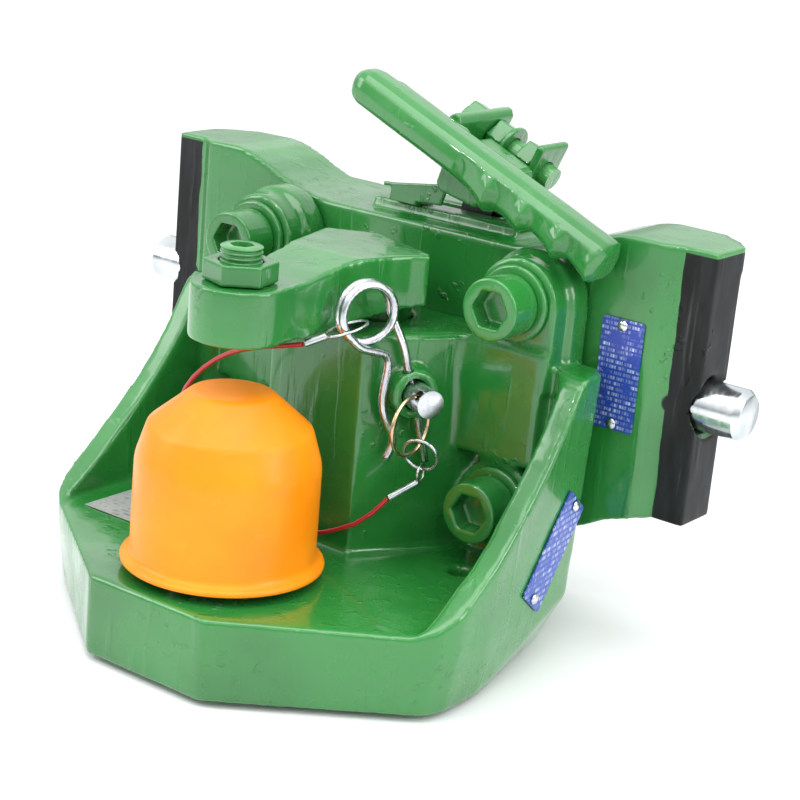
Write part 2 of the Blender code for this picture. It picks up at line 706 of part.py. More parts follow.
def coupling_ball():
    """80 mm ball on a short neck, with a spigot through the floor and a nut below."""
    radius = BALL_D / 2
    base = FLOOR_T + GAP
    neck = 24.0
    waist = math.degrees(math.asin(-(BALL_Z - 50) / radius))
    ball_arc = [(r, BALL_Z + z) for r, z in arc((0, 0), radius, waist, 90, 11)]
    profile = [(0, 3), (17.5, 3), (17.5, 14), (SPIGOT_D / 2, 14), (SPIGOT_D / 2, base),
               (28, base), (28, 43), (neck, 45)]
    profile += [(max(0.0, r), z) for r, z in ball_arc[:-1]] + [(0, BALL_Z + radius)]
    ball = turned("coupling_ball", list(reversed(profile)), (0, BALL_Y, 0), parts, 36)
    finish(ball, STEEL)
    nut = rod("ball_nut", (0, BALL_Y, 2), (0, BALL_Y, 13.7), 55 / math.cos(math.radians(30)),
              parts, 6)
    cut(nut, rod("hole", (0, BALL_Y, 0), (0, BALL_Y, 20), 35.8, sides=40))
    finish(nut, DARK_STEEL)


def ball_cap():
    """Thin moulded cap over the ball, open below, with a rolled flange."""
    outer = [(0, 127.2), (18.5, 127.2), (20, 126.6), (37.6, 112.6), (38.6, 110.8), (42.8, 97),
             (43.4, 94), (43.6, 49), (44.6, 47.4), (47.2, 46.6), (48, 45.6), (47.6, 44.2)]
    inner = [(41.2, 44.2), (41, 94), (36.2, 110), (35.4, 111.4), (18.6, 124.6), (0, 124.6)]
    cap = turned("ball_cap", outer + inner, (0, BALL_Y, 0), parts, 40)
    return finish(cap, CAP_PLASTIC, angle=50)


# ---- hold-down -----------------------------------------------------------------
NOSE_R = 22.5


def hold_down_arm():
    nose = arc((0, BALL_Y), NOSE_R, 180, 360, 16)
    outline = nose + [(20.4, -117), (19.6, -98), (20.5, -84), (27, -60), (31.5, -50), (37, -43),
                      (33, -38), (-9, -22), (-33, -36), (-27.5, -56), (-20.5, -84), (-19.6, -98),
                      (-20.4, -117)]
    arm = prism("hold_down_arm", outline, (140, 200), "XY", parts)
    side = [(-170, ARM_UNDER), (-170, ARM_SEAT), (-113, ARM_SEAT), (-76, ARM_TOP),
            (-10, ARM_TOP), (-10, 160.5), (-40, 160.5), (-62, 157), (-95, ARM_UNDER)]
    cut(arm, prism("side", side, (-60, 60), "YZ"), operation="INTERSECT")
    join(arm, rod("leg", (0, POST_Y, 46.6), (0, POST_Y, 162), POST_D, sides=40))
    cut(arm, rod("thread", (0, BALL_Y, 140), (0, BALL_Y, 200), 20.6, sides=32),
        secure_rod("pin_seat", 6, 30, SECURE_D + 1.0),
        rod("tapping", (0, POST_Y, 40), (0, POST_Y, 68), 12.8, sides=24))
    finish(arm, PAINT)
    washer = rod("post_washer", (0, POST_Y, 12.7), (0, POST_Y, 15.7), 46, parts)
    cut(washer, rod("hole", (0, POST_Y, 10), (0, POST_Y, 20), 12.8, sides=24))
    finish(washer, ZINC)
    screw = rod("post_screw", (0, POST_Y, 5), (0, POST_Y, 12.4), 19 / math.cos(math.radians(30)),
                parts, 6)
    join(screw, rod("shank", (0, POST_Y, 10), (0, POST_Y, 65), 12, sides=24))
    finish(screw, ZINC)
    return arm, washer, screw


def adjusting_screw():
    low, high = 153.5, 195.5
    screw = rod("adjusting_screw", (0, BALL_Y, low), (0, BALL_Y, high), 20, parts)
    cut(screw, rod("socket", (0, BALL_Y, high - 9), (0, BALL_Y, high + 1),
                   10 / math.cos(math.radians(30)), sides=6))
    finish(screw, PAINT)
    nut = rod("lock_nut", (0, BALL_Y, ARM_SEAT + GAP), (0, BALL_Y, ARM_SEAT + 10),
              30 / math.cos(math.radians(30)), parts, 6, turn=math.radians(12))
    cut(nut, rod("hole", (0, BALL_Y, 170), (0, BALL_Y, 200), 20.6))
    finish(nut, PAINT)
    return screw, nut


# ---- securing pin, clip, rings and tether --------------------------------------
CLIP_HEADING = math.radians(-25.2)
CLIP_AT = 50.7                 # where the clip crosses the pin, out from the post
CLIP_WIRE = 4.2
COIL_CENTRE = (28.0, 40.3)     # along and up in the clip's plane
COIL_R = 14.0
RING_X = 57.0
RING_CENTRE = (-75.4, 112.2)
RING_R = 14.3
RING_HOLE = 64.5
LINK_R = 8.6
LINK_AT = -50.0                # where on the pull ring the small ring hangs, degrees


def clip_point(along, up, out=0.0):
    """A point in the clip's plane, counted from where it crosses the pin's axis."""
    x, y, z = secure_point(CLIP_AT)
    c, s = math.cos(CLIP_HEADING), math.sin(CLIP_HEADING)
    return (x + s * along + c * out, y - c * along + s * out, z + up)


def clip_lean(up):
    """How far the straight leg leans along the plane at a height."""
    return 0.30 * up


def clip_rod(name, low, high, diameter):
    return rod(name, clip_point(clip_lean(low), low), clip_point(clip_lean(high), high), diameter,
               sides=16)


def spring_clip():
    """Double-coil hairpin clip: straight leg, coil of 1.6 turns, waved leg."""
    route = [clip_point(clip_lean(up), up) for up in (-37, -24, -12, 0, 12, 24)]
    sweep, steps = 585, 52
    first = 180.0
    for step in range(steps + 1):
        turn = math.radians(first - sweep * step / steps)
        out = -3.7 + 7.4 * step / steps
        route.append(clip_point(COIL_CENTRE[0] + COIL_R * math.cos(turn),
                                COIL_CENTRE[1] + COIL_R * math.sin(turn), out))
    wave = [(31.5, 24.6, 3.2), (22.5, 21.8, 2.2), (16.4, 19.6, 1.4), (14.9, 14.5, 0.8),
            (15.2, 8.0, 0.2), (15.9, 1.0, 0), (15.6, -5.5, 0), (13.4, -12.5, 0),
            (9.0, -20.5, 0), (8.8, -26, 0), (11.6, -32.5, 0)]
    route += [clip_point(*point) for point in wave]
    return wire("spring_clip", smooth_path(route, 3.4), CLIP_WIRE, ZINC)


def loop(name, centre, long_way, short_way, thickness, spec, around=24, sides=6):
    """A closed ring of wire: an ellipse about its centre with two half axes."""
    centre, long_way, short_way = Vector(centre), Vector(long_way), Vector(short_way)
    normal = long_way.cross(short_way).normalized()

    def build(bm):
        rings = []
        for k in range(around):
            t = 2 * math.pi * k / around
            point = centre + long_way * math.cos(t) + short_way * math.sin(t)
            ahead = (short_way * math.cos(t) - long_way * math.sin(t)).normalized()
            outward = ahead.cross(normal)
            ring = []
            for j in range(sides):
                p = 2 * math.pi * j / sides
                side = outward * math.cos(p) + normal * math.sin(p)
                ring.append(bm.verts.new(at(*(point + side * thickness / 2))))
            rings.append(ring)
        for k in range(around):
            a, b = rings[k], rings[(k + 1) % around]
            for j in range(sides):
                i = (j + 1) % sides
                bm.faces.new((a[j], a[i], b[i], b[j]))
    return finish(mesh_object(name, build, parts), spec, angle=80)


def securing_pin():
    pin = secure_rod("securing_pin", POST_D / 2 + 0.5, 70.6, SECURE_D, parts)
    ring_at = math.radians(46)
    x, y, z = secure_point(RING_HOLE)
    reach = 10
    y, z = y - 1.2, z - 0.6
    ahead, down = reach * math.cos(ring_at), reach * math.sin(ring_at)
    cut(pin, rod("ring_hole", (x, y - ahead, z + down), (x, y + ahead, z - down), 5.2, sides=16),
        clip_rod("clip_hole", -12, 12, 5.2))
    return finish(pin, ZINC)


def link_frame():
    """Centre, normal and downward direction of the small ring on the pull ring."""
    turn = math.radians(LINK_AT)
    hook = Vector((RING_X, RING_CENTRE[0] + RING_R * math.cos(turn),
                   RING_CENTRE[1] + RING_R * math.sin(turn)))
    normal = Vector((0.234, -0.904, -0.355)).normalized()
    down = Vector((0, 0, -1))
    down = (down - normal * down.dot(normal)).normalized()
    return hook + down * (LINK_R - 2.3), normal, down


TETHER_ROUTE = [(45.6, -72.4, 72.2), (40.5, -76.4, 64.5), (33.6, -80.6, 57.8),
                (24.0, -83.0, 52.6), (12.0, -84.0, 47.6), (-5.0, -84.2, 44.4),
                (-22.0, -84.4, 43.6), (-37.0, -88.0, 48.0), (-50.0, -96.5, 60.0),
                (-57.0, -105.0, 77.0), (-57.5, -110.0, 95.0), (-51.0, -112.0, 111.0),
                (-40.0, -112.0, 124.0), (-25.0, -112.5, 134.5), (-8.0, -113.0, 141.5),
                (8.0, -113.0, 146.0), (17.6, -110.6, 148.6)]
TETHER_D = 2.3
FERRULE_D = 3.6


def tether():
    return wire("tether_cable", smooth_path(TETHER_ROUTE, 5.0), TETHER_D, CABLE_SHEATH)


def upper_eye():
    """Wire eye about both strands of the clip's coil, with its ferrule."""
    turn = math.radians(-30)
    strand = Vector(clip_point(COIL_CENTRE[0] + COIL_R * math.cos(turn),
                               COIL_CENTRE[1] + COIL_R * math.sin(turn), 1.35))
    c, s = math.cos(CLIP_HEADING), math.sin(CLIP_HEADING)
    ahead = Vector((-s * 0.96, c * 0.96, 0.28)).normalized()
    centre = strand + ahead * 1.5
    eye = loop("upper_eye", centre, ahead * 11, Vector((c, s, 0)) * 5.7, 1.5, ZINC)
    end = centre - ahead * 10.6
    start = Vector(TETHER_ROUTE[-1])
    away = (end - start).normalized()
    join(eye, rod("ferrule", start + away * 3 * GAP, end, FERRULE_D, sides=14))
    return finish(eye, ZINC)


def lower_eye():
    """Wire eye through the small ring, with its ferrule."""
    centre, normal, down = link_frame()
    bottom = centre + down * LINK_R
    tangent = normal.cross(down)
    start = Vector(TETHER_ROUTE[0])
    away = start - bottom
    away = (away - tangent * away.dot(tangent)).normalized()
    middle = bottom + away * 1.9
    eye = loop("lower_eye", middle, away * 4.3, tangent.cross(away) * 4.3, 1.5, ZINC, 18)
    end = middle + away * 4.2
    back = (end - start).normalized()
    join(eye, rod("ferrule", start + back * 2 * GAP, end, FERRULE_D, sides=14))
    return finish(eye, ZINC)


def rings():
    loop("pull_ring", (RING_X, *RING_CENTRE), (0, RING_R, 0), (0, 0, RING_R), 2.0,
         YELLOW_ZINC, 32)
    centre, normal, down = link_frame()
    loop("link_ring", centre, down * LINK_R, normal.cross(down) * LINK_R, 1.8, ZINC)


# ---- plates --------------------------------------------------------------------
def flat_plate(name, centre, size, rotation, spec, rivets=None):
    """A thin plate and, on its long axis, two domed rivets."""
    plate = block(name, (-size[0] / 2, -FRONT - size[1] / 2, 0),
                  (size[0] / 2, -FRONT + size[1] / 2, size[2]), parts)
    for vertex in plate.data.vertices:
        vertex.co += plate.location
    plate.location = at(*centre)
    plate.rotation_euler = rotation
    finish(plate, spec)
    for number, offset in enumerate(rivets or (), 1):
        dome = [(0, 1.8), (1.6, 1.5), (2.6, 0.8), (3.0, 0), (0, 0)]
        rivet = turned(f"{name}_rivet_{number}", dome, centre, parts, 16)
        settle()
        turn = plate.matrix_world.to_3x3()
        rivet.rotation_euler = rotation
        rivet.location = at(*centre) + turn @ (Vector((0, offset, size[2] + GAP)) * MM)
        finish(rivet, ZINC)


def plates():
    flat_plate("carriage_plate", (124.0, BODY_FACE - GAP, 141.0), (22.5, 54.0, 0.7),
               (math.radians(90), 0, 0), PLATE_BLUE, (-24.0, 24.0))
    y, z = -40.0, 59.5
    slope = (BRACKET_HALF - REAR_HALF) / (92 - 16)
    wide = BRACKET_HALF - (y + 92) * slope + FLARE * (z - HULL_EDGE)
    outward = Vector((1, slope, -FLARE)).normalized()
    lengthwise = Vector((0, 34, 45))
    lengthwise = (lengthwise - outward * lengthwise.dot(outward)).normalized()
    turn = Matrix((lengthwise.cross(outward), lengthwise, outward)).transposed()
    centre = Vector((wide, y, z)) + outward * GAP
    flat_plate("bracket_plate", centre, (22.5, 56.0, 0.7), turn.to_euler(), PLATE_BLUE,
               (-24.5, 24.5))
    flat_plate("floor_label", (-82.4, -110.0, FLOOR_T + GAP), (36.0, 34.0, 0.3), (0, 0, 0),
               LABEL_SILVER)


def main():
    start_scene()
    carriage_body()
    rear_cover()
    rocker_shaft()
    lever_pieces = release_lever()
    handle_pieces = release_handle()
    hang(pivot("handle_axis", (0, GUIDE_T / 2, PIN_Z)), *lever_pieces, *handle_pieces,
         *stud_group())
    for side in (-1, 1):
        pin, bar, _, _ = locking_set(side)
        hang(pivot(f"lock_axis_{'right' if side > 0 else 'left'}",
                   (side * GUIDE_HALF, GUIDE_T / 2, PIN_Z)), pin, bar)
    slot_guard()
    ball_bracket()
    bracket_screws()
    coupling_ball()
    hang(pivot("cap_axis", (0, BALL_Y, FLOOR_T)), ball_cap())
    arm_axis = pivot("hold_down_axis", (0, POST_Y, COLUMN_TOP))
    hang(arm_axis, *hold_down_arm())
    screw_axis = pivot("adjusting_axis", (0, BALL_Y, ARM_SEAT))
    hang(arm_axis, screw_axis)
    hang(screw_axis, *adjusting_screw())
    securing_pin()
    spring_clip()
    rings()
    upper_eye()
    lower_eye()
    tether()
    plates()


main()
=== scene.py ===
"""Looks of the slide carriage with its coupling ball, hold-down and release lever.

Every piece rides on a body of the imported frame. Lengths are millimetres turned to metres
by MM; y is counted from the guide strips' front faces, as in the part's own source.
"""

import json
import math

import bmesh
import bpy
from mathutils import Matrix, Vector


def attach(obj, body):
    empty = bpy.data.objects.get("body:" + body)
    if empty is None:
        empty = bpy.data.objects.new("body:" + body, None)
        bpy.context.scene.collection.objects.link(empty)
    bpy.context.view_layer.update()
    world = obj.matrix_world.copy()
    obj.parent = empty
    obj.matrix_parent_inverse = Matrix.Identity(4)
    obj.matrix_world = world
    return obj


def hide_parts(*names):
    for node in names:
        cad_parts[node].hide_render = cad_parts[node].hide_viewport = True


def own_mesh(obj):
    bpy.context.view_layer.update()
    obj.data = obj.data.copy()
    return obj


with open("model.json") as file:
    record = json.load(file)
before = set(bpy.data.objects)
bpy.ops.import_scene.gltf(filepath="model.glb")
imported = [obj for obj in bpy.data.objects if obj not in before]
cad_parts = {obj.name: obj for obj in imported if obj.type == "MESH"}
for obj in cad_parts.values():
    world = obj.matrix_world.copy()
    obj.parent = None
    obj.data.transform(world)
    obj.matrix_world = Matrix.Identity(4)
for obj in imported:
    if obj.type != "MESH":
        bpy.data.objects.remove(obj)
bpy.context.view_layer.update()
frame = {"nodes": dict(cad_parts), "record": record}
scene = bpy.context.scene
scene.view_settings.view_transform = "Standard"
scene.view_settings.look = "None"

MM = 0.001
FRONT = 62.35                  # y of the guide strips' front faces
PIN_Y, PIN_Z = 13.5, 132.0     # the locking pins' axis
BORE_R = 13.8                  # the pins' bores, to the edge of the paint
BALL_Y, BALL_Z = -137.0, 84.0
BALL_R = 39.85
BODY_OF = {node: body for body, nodes in frame["record"]["behaviour"]["bodies"].items()
           for node in nodes}
SLOT_OF = {item["node"]: item["material_slot"] for item in frame["record"]["subparts"]}


def at(x, y, z):
    return Vector((x, y + FRONT, z)) * MM


# ---- camera --------------------------------------------------------------------
AZIMUTH, ELEVATION, ROLL = (math.radians(a) for a in (35.17, 17.76, 5.23))
EYE = (567.33, -804.42, 394.93)
FOCAL = 90.09                  # mm on a 36 mm wide sensor
SHIFT = (-0.0051, 0.0379)


def add_camera():
    ahead = Vector((-math.sin(AZIMUTH) * math.cos(ELEVATION),
                    math.cos(AZIMUTH) * math.cos(ELEVATION), -math.sin(ELEVATION)))
    right = Vector((math.cos(AZIMUTH), math.sin(AZIMUTH), 0))
    up = right.cross(ahead)
    turned_right = math.cos(ROLL) * right + math.sin(ROLL) * up
    turned_up = math.cos(ROLL) * up - math.sin(ROLL) * right
    lens = bpy.data.cameras.new("camera")
    lens.sensor_width = 36
    lens.lens = FOCAL
    lens.shift_x, lens.shift_y = SHIFT
    lens.clip_start = 0.01
    camera = bpy.data.objects.new("camera", lens)
    camera.matrix_world = (Matrix.Translation(at(*EYE))
                           @ Matrix((turned_right, turned_up, -ahead)).transposed().to_4x4())
    scene.collection.objects.link(camera)
    scene.camera = camera


add_camera()


# ---- the tether, the only cord -------------------------------------------------
TETHER_ROUTE = [(45.6, -72.4, 72.2), (40.5, -76.4, 64.5), (33.6, -80.6, 57.8),
                (24.0, -83.0, 52.6), (12.0, -84.0, 47.6), (-5.0, -84.2, 44.4),
                (-22.0, -84.4, 43.6), (-37.0, -88.0, 48.0), (-50.0, -96.5, 60.0),
                (-57.0, -105.0, 77.0), (-57.5, -110.0, 95.0), (-51.0, -112.0, 111.0),
                (-40.0, -112.0, 124.0), (-25.0, -112.5, 134.5), (-8.0, -113.0, 141.5),
                (8.0, -113.0, 146.0), (17.6, -110.6, 148.6)]
TETHER_D = 2.3


def smooth_path(points, step):
    """Points about step apart on a Catmull-Rom curve through the given points."""
    knots = [Vector(p) for p in points]
    knots = [2 * knots[0] - knots[1]] + knots + [2 * knots[-1] - knots[-2]]
    path = []
    for i in range(1, len(knots) - 2):
        a, b, c, d = knots[i - 1:i + 3]
        pieces = max(1, round((c - b).length / step))
        for k in range(pieces):
            t = k / pieces
            path.append(0.5 * (2 * b + (c - a) * t + (2 * a - 5 * b + 4 * c - d) * t * t
                               + (3 * b - a - 3 * c + d) * t * t * t))
    path.append(knots[-2])
    return path


def round_wire(name, points, diameter):
    curve = bpy.data.curves.new(name, "CURVE")
    curve.dimensions = "3D"
    curve.bevel_depth = 1.0        # each point's radius carries the size
    curve.bevel_resolution = 5
    curve.use_fill_caps = True
    spline = curve.splines.new("POLY")
    spline.points.add(len(points) - 1)
    for knot, point in zip(spline.points, points):
        knot.co = (*at(*point), 1.0)
        knot.radius = diameter / 2 * MM
    spline.use_smooth = True
    wire = bpy.data.objects.new(name, curve)
    scene.collection.objects.link(wire)
    return wire


def stand_for(piece, node):
    """piece is shown in place of a CAD node, on the same body."""
    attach(piece, BODY_OF[node])
    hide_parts(node)
    return piece


tether_points = smooth_path(TETHER_ROUTE, 8.0)
tether = stand_for(round_wire("tether", tether_points, TETHER_D), "tether_cable")


# ---- materials -----------------------------------------------------------------
class Finish:
    """A procedural material built up node by node in object space, in metres."""

    def __init__(self, name, colour, roughness, metallic=0.0):
        self.material = bpy.data.materials.new(name)
        self.material.use_nodes = True
        self.tree = self.material.node_tree
        self.shader = self.tree.nodes["Principled BSDF"]
        self.shader.inputs["Base Color"].default_value = (*colour, 1)
        self.shader.inputs["Roughness"].default_value = roughness
        self.shader.inputs["Metallic"].default_value = metallic
        self.where = self.node("ShaderNodeTexCoord").outputs["Object"]

    def node(self, kind, inputs=None, **settings):
        made = self.tree.nodes.new(kind)
        for name, value in settings.items():
            setattr(made, name, value)
        for name, value in (inputs or {}).items():
            self.feed(made.inputs[name], value)
        return made

    def feed(self, socket, value):
        if isinstance(value, bpy.types.NodeSocket):
            self.tree.links.new(value, socket)
        else:
            socket.default_value = value

    def set(self, name, value):
        self.feed(self.shader.inputs[name], value)

    def stretched(self, stretch):
        return self.node("ShaderNodeMapping", {"Vector": self.where, "Scale": stretch}).outputs[0]

    def noise(self, scale, detail=3.0, stretch=(1, 1, 1), roughness=0.5):
        return self.node("ShaderNodeTexNoise", {"Vector": self.stretched(stretch), "Scale": scale,
                                                "Detail": detail,
                                                "Roughness": roughness}).outputs["Fac"]

    def ramp(self, value, low, high, a=0.0, b=1.0):
        """value carried from low..high to a..b, smoothly and clamped."""
        return self.node("ShaderNodeMapRange",
                         {"Value": value, "From Min": low, "From Max": high, "To Min": a,
                          "To Max": b}, interpolation_type="SMOOTHSTEP").outputs["Result"]

    def math(self, operation, a, b=0.0):
        made = self.node("ShaderNodeMath", operation=operation)
        self.feed(made.inputs[0], a)
        self.feed(made.inputs[1], b)
        return made.outputs[0]

    def mix(self, share, a, b):
        made = self.node("ShaderNodeMix", data_type="RGBA")
        self.feed(made.inputs["Factor"], share)
        for socket, value in ((made.inputs[6], a), (made.inputs[7], b)):
            self.feed(socket, value if isinstance(value, bpy.types.NodeSocket) else (*value, 1))
        return made.outputs[2]

    def axes(self, source=None):
        return self.node("ShaderNodeSeparateXYZ", {"Vector": source or self.where}).outputs

    def edges(self, low, high):
        """How far a spot stands on a convex edge, 0 to 1."""
        sharpness = self.node("ShaderNodeNewGeometry").outputs["Pointiness"]
        return self.ramp(sharpness, low, high)

    def bump(self, *layers):
        """Stack (height, strength, distance in mm) layers of relief."""
        last = None
        for height, strength, distance in layers:
            made = self.node("ShaderNodeBump", {"Height": height, "Strength": strength,
                                                "Distance": distance * MM})
            if last is not None:
                self.feed(made.inputs["Normal"], last)
            last = made.outputs["Normal"]
        self.set("Normal", last)


GREEN = (0.021, 0.200, 0.033)
# paler green, for specks and for the lighter edges, which are thin paint and a painted highlight
# together
GREEN_PALE = (0.085, 0.36, 0.095)
GREEN_DEEP = (0.013, 0.148, 0.024)
PAINT_COAT = 0.55
PAINT_SPECULAR = 0.55
GUIDE_X = 0.1484               # metres; the guides are bare outside it
GUIDE_TOP = 0.2040             # metres; and below this height


def painted(name):
    """The paint's colour: it pools in broad patches, and is lighter on convex edges, partly as
    thinner paint and partly as a painted highlight along the edges.
    """
    paint = Finish(name, GREEN, 0.25)
    fine = paint.noise(420, 2)
    tone = paint.mix(paint.ramp(paint.noise(14, 3), 0.32, 0.68), GREEN_DEEP, GREEN)
    speck = paint.ramp(paint.noise(900, 1), 0.70, 0.80)
    tone = paint.mix(paint.math("MULTIPLY", speck, 0.18), tone, GREEN_PALE)
    # lighter green on convex edges: thinner paint there, and a painted highlight along the edges
    # as well
    edge_thinning_and_highlight = paint.math("MULTIPLY", paint.edges(0.52, 0.60),
                      paint.ramp(paint.noise(60, 4), 0.35, 0.65, 0.25, 1.0))
    tone = paint.mix(paint.math("MULTIPLY", edge_thinning_and_highlight, 0.75), tone, GREEN_PALE)
    return paint, tone, fine


def finish_paint(paint, tone, fine, casting):
    """The paint's gloss and relief: casting's waves, runs, blobs and orange peel."""
    paint.set("Base Color", tone)
    paint.set("Roughness", paint.ramp(paint.noise(38, 4), 0.3, 0.7, 0.16, 0.34))
    paint.set("Coat Weight", PAINT_COAT)
    paint.set("Coat Roughness", 0.06)
    paint.set("Specular IOR Level", PAINT_SPECULAR)
    runs = paint.ramp(paint.noise(105, 3, (1, 1, 0.14)), 0.55, 0.70)
    blobs = paint.ramp(paint.noise(150, 2), 0.60, 0.72)
    blobs = paint.math("MULTIPLY", blobs, paint.ramp(paint.noise(24, 2), 0.56, 0.64))
    paint.bump((paint.noise(26, 3), casting, 2.0), (runs, 0.5, 0.6), (blobs, 0.8, 0.9),
               (paint.noise(150, 2), 0.25, 0.3), (fine, 0.2, 0.06))
    return paint.material


def plain_paint():
    return finish_paint(*painted("gloss_green"), casting=0.35)


def casting_paint():
    """The same paint with the guides' front and sides and the bores left bare and dark."""
    paint, tone, fine = painted("gloss_green_bare_guides")
    x, y, z = paint.axes()
    across = paint.math("ABSOLUTE", x)
    ragged = paint.math("ADD", across, paint.ramp(paint.noise(120, 4, (1, 1, 0.35)), 0.3, 0.7,
                                                  -0.0005, 0.0005))
    bare = paint.math("MULTIPLY", paint.ramp(ragged, GUIDE_X, GUIDE_X + 0.0003),
                      paint.ramp(z, GUIDE_TOP, GUIDE_TOP + 0.0006, 1.0, 0.0))
    facing = paint.node("ShaderNodeNewGeometry").outputs["True Normal"]
    rising = paint.ramp(paint.axes(facing)[2], 0.45, 0.7, 1.0, 0.0)
    bare = paint.math("MULTIPLY", bare, rising)
    off_y = paint.math("SUBTRACT", y, (PIN_Y + FRONT) * MM)
    off_z = paint.math("SUBTRACT", z, PIN_Z * MM)
    off = paint.math("ADD", paint.math("MULTIPLY", off_y, off_y),
                     paint.math("MULTIPLY", off_z, off_z))
    bore = paint.ramp(off, (BORE_R * MM) ** 2, ((BORE_R + 0.5) * MM) ** 2, 1.0, 0.0)
    bare = paint.math("MAXIMUM", bare, bore)
    grime = paint.mix(paint.ramp(paint.noise(150, 5, (1, 1, 0.25)), 0.35, 0.7),
                      (0.005, 0.006, 0.006), (0.014, 0.015, 0.016))
    scuffs = paint.ramp(paint.noise(300, 4, (1, 1, 0.06)), 0.60, 0.74)
    grime = paint.mix(paint.math("MULTIPLY", scuffs, 0.35), grime, (0.10, 0.105, 0.11))
    tone = paint.mix(bare, tone, grime)
    made = finish_paint(paint, tone, fine, casting=0.5)
    satin = paint.shader.inputs["Roughness"].links[0].from_socket
    for name, on_paint, on_bare in (("Roughness", satin, 0.5), ("Coat Weight", PAINT_COAT, 0.0),
                                    ("Specular IOR Level", PAINT_SPECULAR, 0.25)):
        blend = paint.node("ShaderNodeMix", {"Factor": bare}, data_type="FLOAT")
        paint.feed(blend.inputs[2], on_paint)
        paint.feed(blend.inputs[3], on_bare)
        paint.set(name, blend.outputs[0])
    return made


def plated(name, colour, dark, roughness=(0.14, 0.32), streak=(1, 1, 1), pits=0.12):
    metal = Finish(name, colour, 0.25, 1.0)
    cloud = metal.ramp(metal.noise(70, 4, streak), 0.3, 0.7)
    tone = metal.mix(cloud, dark, colour)
    metal.set("Base Color", tone)
    metal.set("Roughness", metal.ramp(metal.noise(160, 4, streak), 0.3, 0.7, *roughness))
    metal.bump((metal.noise(240, 3, streak), pits, 0.15), (metal.noise(1400, 2), 0.08, 0.03))
    return metal.material


def turned_steel(name, colour, dark):
    """Zinc over a turned surface, clouded where it has been handled."""
    metal = Finish(name, colour, 0.2, 1.0)
    cloud = metal.ramp(metal.noise(75, 4), 0.3, 0.7)
    metal.set("Base Color", metal.mix(cloud, dark, colour))
    metal.set("Roughness", metal.ramp(metal.noise(240, 4, (2.5, 1, 1)), 0.3, 0.7, 0.13, 0.27))
    metal.bump((metal.noise(110, 3), 0.07, 0.2), (metal.noise(1500, 2, (3, 1, 1)), 0.08, 0.02))
    return metal.material


def moulded_cap():
    plastic = Finish("orange_plastic", (0.90, 0.27, 0.004), 0.4)
    cloud = plastic.ramp(plastic.noise(22, 3), 0.3, 0.7)
    tone = plastic.mix(cloud, (0.83, 0.225, 0.003), (0.93, 0.285, 0.006))
    dust = plastic.ramp(plastic.noise(130, 5), 0.60, 0.78)
    plastic.set("Base Color", plastic.mix(plastic.math("MULTIPLY", dust, 0.15), tone,
                                          (0.95, 0.42, 0.06)))
    plastic.set("Roughness", plastic.ramp(plastic.noise(48, 4), 0.3, 0.7, 0.28, 0.44))
    plastic.set("Specular IOR Level", 0.3)
    plastic.set("Subsurface Weight", 0.12)
    plastic.set("Subsurface Radius", (0.006, 0.003, 0.001))
    plastic.bump((plastic.noise(30, 2, (1, 1, 0.3)), 0.22, 1.0),
                 (plastic.noise(600, 2), 0.10, 0.05))
    return plastic.material


def sheath():
    red = Finish("red_sheath", (0.36, 0.008, 0.016), 0.28)
    grime = red.ramp(red.noise(90, 4), 0.5, 0.8)
    red.set("Base Color", red.mix(red.math("MULTIPLY", grime, 0.6), (0.40, 0.009, 0.018),
                                  (0.14, 0.012, 0.014)))
    red.set("Coat Weight", 0.4)
    red.bump((red.noise(700, 2), 0.15, 0.08))
    return red.material


def printed_plate(name, ground, light, turn, row=2.6):
    """A plate with rows of plain dashes and bars; turn lays its own x and y on the plate."""
    plate = Finish(name, ground, 0.32, 0.2)
    own = plate.node("ShaderNodeMapping", {"Vector": plate.where, "Rotation": turn},
                     vector_type="TEXTURE").outputs[0]

    def rows(brick_width, height, gap, shift):
        return plate.node("ShaderNodeTexBrick",
                          {"Vector": own, "Color1": (1, 1, 1, 1), "Color2": (0.2, 0.2, 0.2, 1),
                           "Mortar": (0, 0, 0, 1), "Scale": 1.0, "Mortar Size": gap * MM,
                           "Brick Width": brick_width * MM, "Row Height": height * MM,
                           "Mortar Smooth": 0.1}, offset=shift).outputs["Color"]

    dashes = plate.math("MULTIPLY", rows(row * 1.9, row, 0.22 * row, 0.37),
                        rows(row * 0.55, row, 0.07 * row, 0.21))
    dashes = plate.math("MULTIPLY", dashes, plate.ramp(plate.noise(130, 2), 0.36, 0.46))
    scuffs = plate.ramp(plate.noise(240, 5, (1, 1, 0.3)), 0.62, 0.74)
    tone = plate.mix(dashes, ground, light)
    plate.set("Base Color", plate.mix(plate.math("MULTIPLY", scuffs, 0.3), tone, light))
    plate.set("Roughness", plate.ramp(plate.noise(80, 4), 0.3, 0.7, 0.22, 0.42))
    plate.bump((plate.noise(90, 3), 0.15, 0.3), (dashes, 0.1, 0.05))
    return plate.material


